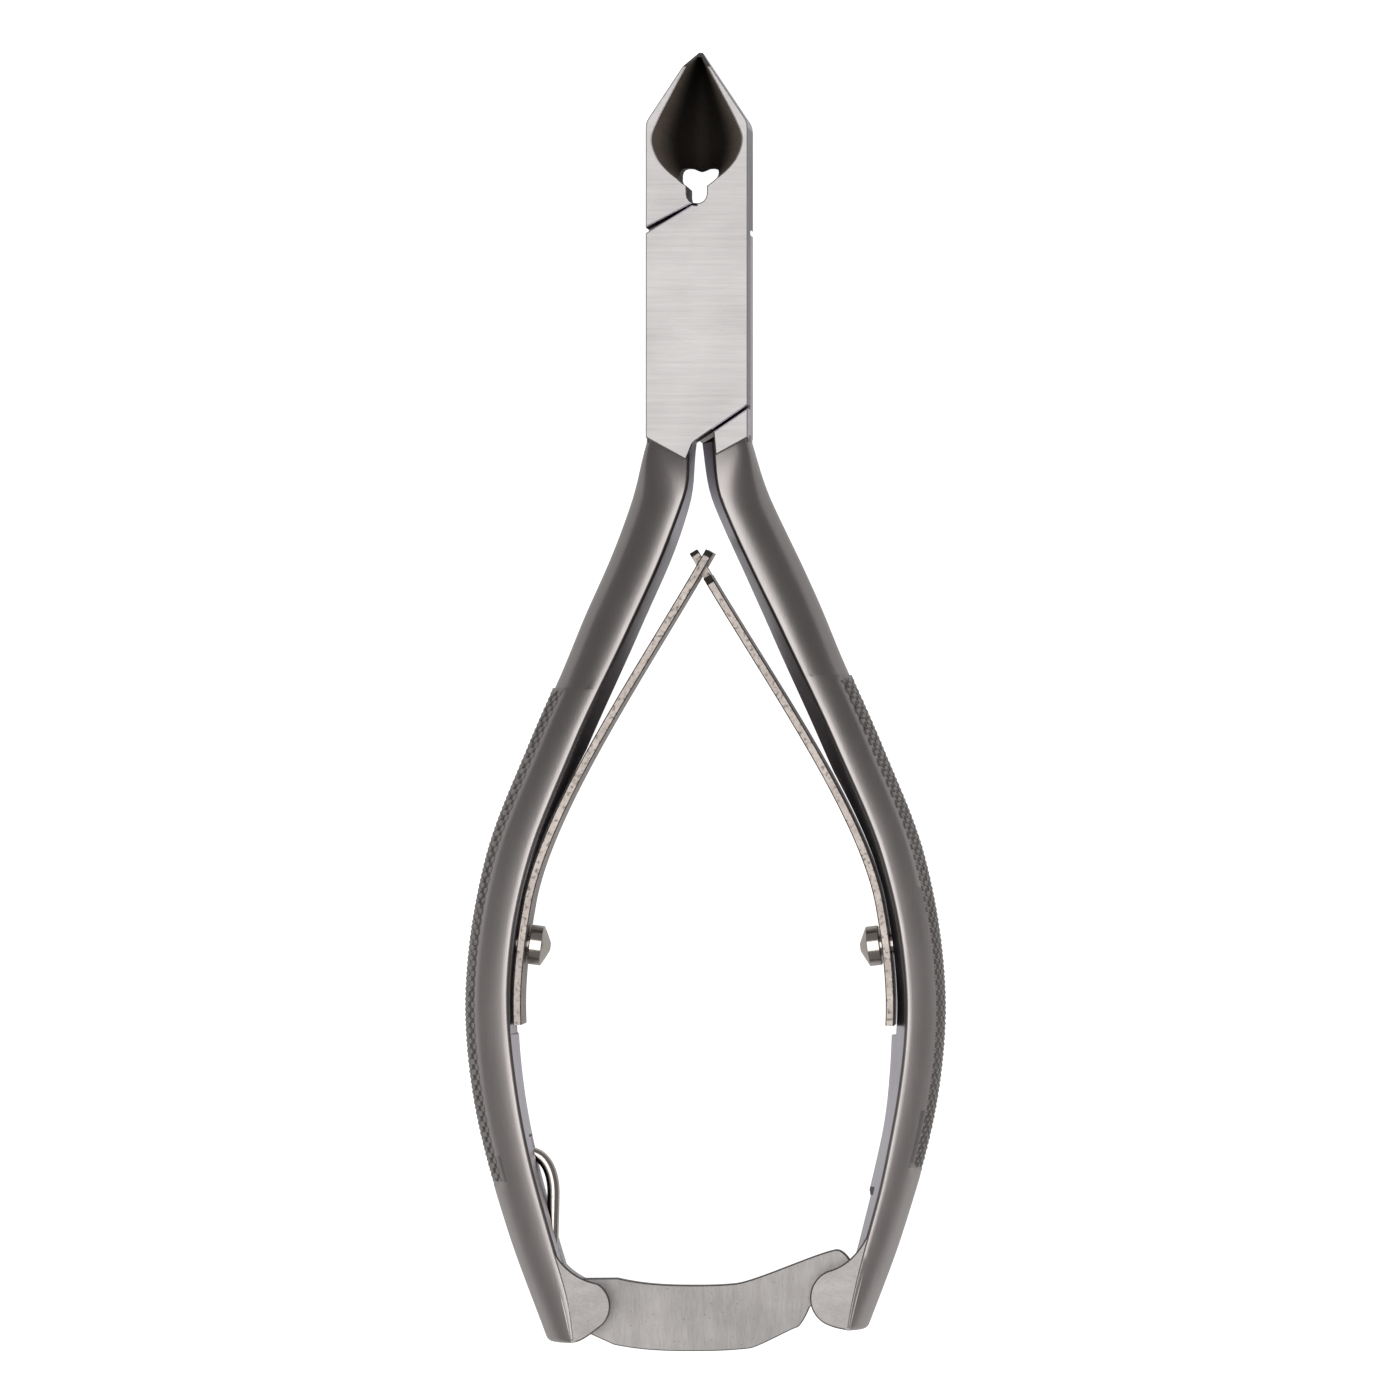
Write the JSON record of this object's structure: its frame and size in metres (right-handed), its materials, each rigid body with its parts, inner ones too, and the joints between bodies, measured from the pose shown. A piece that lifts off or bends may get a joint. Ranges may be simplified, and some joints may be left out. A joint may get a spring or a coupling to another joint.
{
  "type": "cuticle nipper",
  "caption": "Spring-loaded steel hand nipper with concave cutting jaws, a lap joint and a hooked strap that locks the handles shut.",
  "frame": {"origin": "on the axis of the joint rivet, in the plane of the joint block's back face, on which the tool rests", "axes": "+Y towards the tips of the jaws, +Z out of the front face along the joint axis, +X towards the right handle when seen from the front"},
  "size_m": [0.052, 0.1402, 0.009],
  "materials": {
    "satin_steel": "satin stainless steel, brushed along the handles",
    "brushed_steel": "fine brushed stainless steel",
    "spring_steel": "rolled spring steel with a slight mottle",
    "bright_steel": "polished steel"
  },
  "bodies": {
    "front_half": {"front_lever": "satin_steel", "joint_rivet": "brushed_steel", "left_spring_screw": "bright_steel", "strap_rivet": "brushed_steel", "lock_wire_spring": "bright_steel"},
    "back_half": {"back_lever": "satin_steel", "right_spring_screw": "bright_steel", "catch_pin": "brushed_steel"},
    "left_leaf": {"left_spring": "spring_steel"},
    "right_leaf": {"right_spring": "spring_steel"},
    "strap": {"lock_strap": "brushed_steel"}
  },
  "joints": [
    {"name": "lever_pivot", "type": "hinge", "parent": "front_half", "child": "back_half", "pos_m": [0, 0, 0], "axis": [0, 0, 1], "range_deg": [0, 18]},
    {"name": "left_spring_flex", "type": "hinge", "parent": "front_half", "child": "left_leaf", "pos_m": [-0.0164, -0.059, 0.0045], "axis": [0, 0, 1], "range_deg": [-8.2, 0], "deforming": ["left_spring"]},
    {"name": "right_spring_flex", "type": "hinge", "parent": "back_half", "child": "right_leaf", "pos_m": [0.0176, -0.059, 0.0045], "axis": [0, 0, 1], "range_deg": [0, 8.2], "deforming": ["right_spring"]},
    {"name": "strap_swing", "type": "hinge", "parent": "front_half", "child": "strap", "pos_m": [-0.01226, -0.1063, 0.0045], "axis": [0, 0, 1], "range_deg": [0, 65]}
  ],
  "couplings": [
    {"joint": "left_spring_flex", "follows": "lever_pivot", "ratio": -0.45},
    {"joint": "right_spring_flex", "follows": "lever_pivot", "ratio": 0.45}
  ]
}
